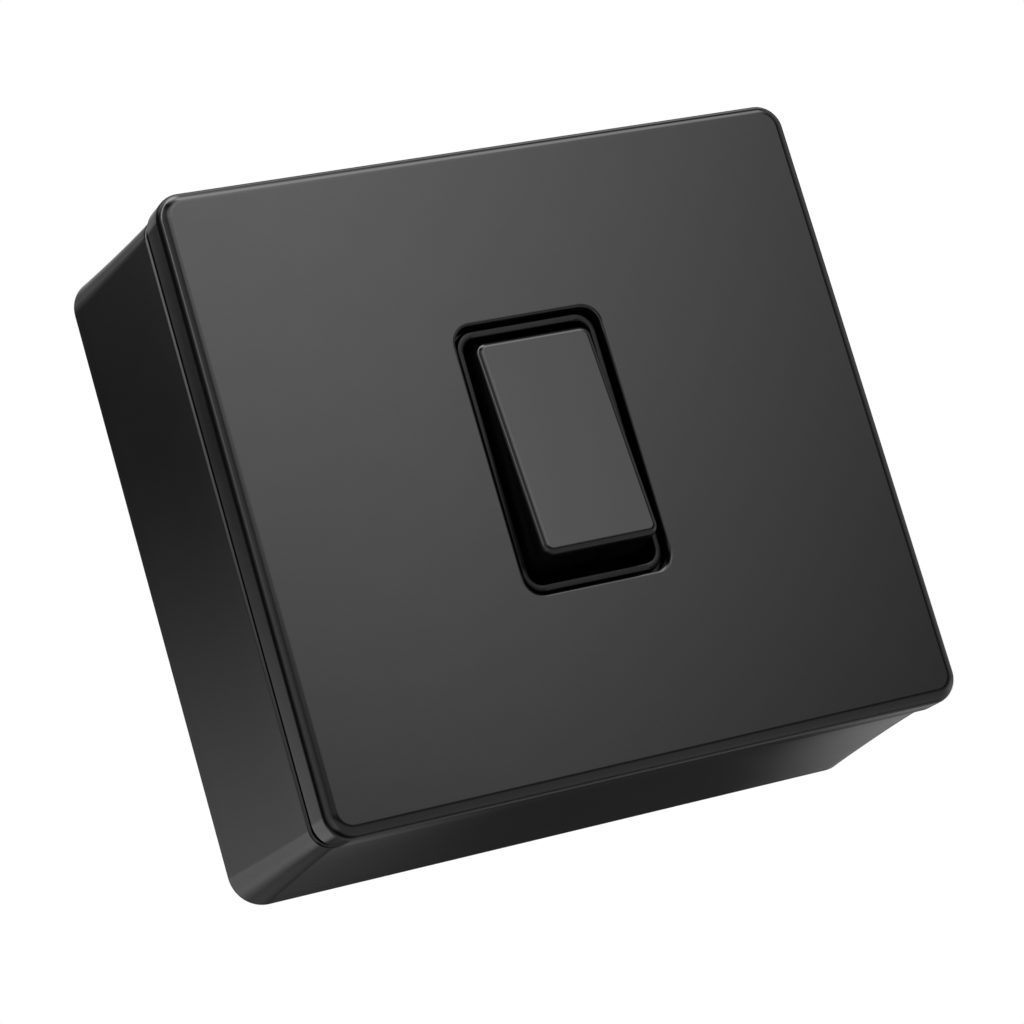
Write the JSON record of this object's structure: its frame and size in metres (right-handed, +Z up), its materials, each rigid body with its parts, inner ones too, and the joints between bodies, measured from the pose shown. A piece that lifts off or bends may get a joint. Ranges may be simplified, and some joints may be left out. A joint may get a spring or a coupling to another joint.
{
  "type": "rocker wall switch",
  "caption": "Rocker wall switch: a flat clip-on front plate with a tilting rocker, on a deep surface-mounting box with a shadow gap between them.",
  "frame": {"origin": "centre of the box's flat back, on the wall plane", "axes": "+X to the right as seen from the room, +Z up the wall, +Y into the wall, so the rocker faces -Y"},
  "size_m": [0.095, 0.0406, 0.0886],
  "materials": {
    "plate_coat": "satin black powder coat",
    "box_shell": "satin black moulding",
    "rocker_plastic": "satin black moulding",
    "bezel_plastic": "satin black moulding",
    "frame_plastic": "matt black moulding",
    "insulator": "pale thermoset moulding",
    "nylon": "natural nylon",
    "brass": "plain brass",
    "steel": "zinc-plated steel",
    "silver": "silver contact alloy"
  },
  "bodies": {
    "switch_body": {"back_box": "box_shell", "lug_insert_left": "brass", "lug_insert_right": "brass", "box_earth_terminal": "brass", "box_earth_screw": "steel", "mounting_frame": "frame_plastic", "fixing_screw_left": "steel", "fixing_screw_right": "steel", "frame_earth_terminal": "brass", "frame_earth_screw": "steel", "module_bezel": "bezel_plastic", "switch_base": "insulator", "module_rivet_upper": "steel", "module_rivet_lower": "steel", "fixed_contact_upper": "silver", "fixed_contact_lower": "silver", "terminal_common": "brass", "terminal_l1": "brass", "terminal_l2": "brass", "terminal_screw_common": "steel", "terminal_screw_l1": "steel", "terminal_screw_l2": "steel"},
    "plate": {"front_plate": "plate_coat"},
    "rocker_body": {"rocker": "rocker_plastic", "plunger_spring": "steel"},
    "plunger_body": {"plunger": "nylon"},
    "see_saw": {"contact_bridge": "brass", "bridge_contact_upper": "silver", "bridge_contact_lower": "silver"}
  },
  "joints": [
    {"name": "rocker_tilt", "type": "hinge", "parent": "switch_body", "child": "rocker_body", "pos_m": [-0.00065, -0.0313, 0.00045], "axis": [1, 0, 0], "range_deg": [0, 11]},
    {"name": "plunger_slide", "type": "slide", "parent": "rocker_body", "child": "plunger_body", "axis": [0, -0.9954, 0.0958], "range_m": [0, 0.0008], "stiffness_N_per_m": 300, "springref_m": -0.001, "deforming": ["plunger_spring"]},
    {"name": "contact_tilt", "type": "hinge", "parent": "switch_body", "child": "see_saw", "pos_m": [-0.00065, -0.0212, 0.00045], "axis": [1, 0, 0], "range_deg": [-14, 0]},
    {"name": "plate_clip", "type": "slide", "parent": "switch_body", "child": "plate", "axis": [0, -1, 0], "range_m": [0, 0.012]}
  ],
  "couplings": [
    {"joint": "contact_tilt", "follows": "rocker_tilt", "ratio": -1.27}
  ]
}
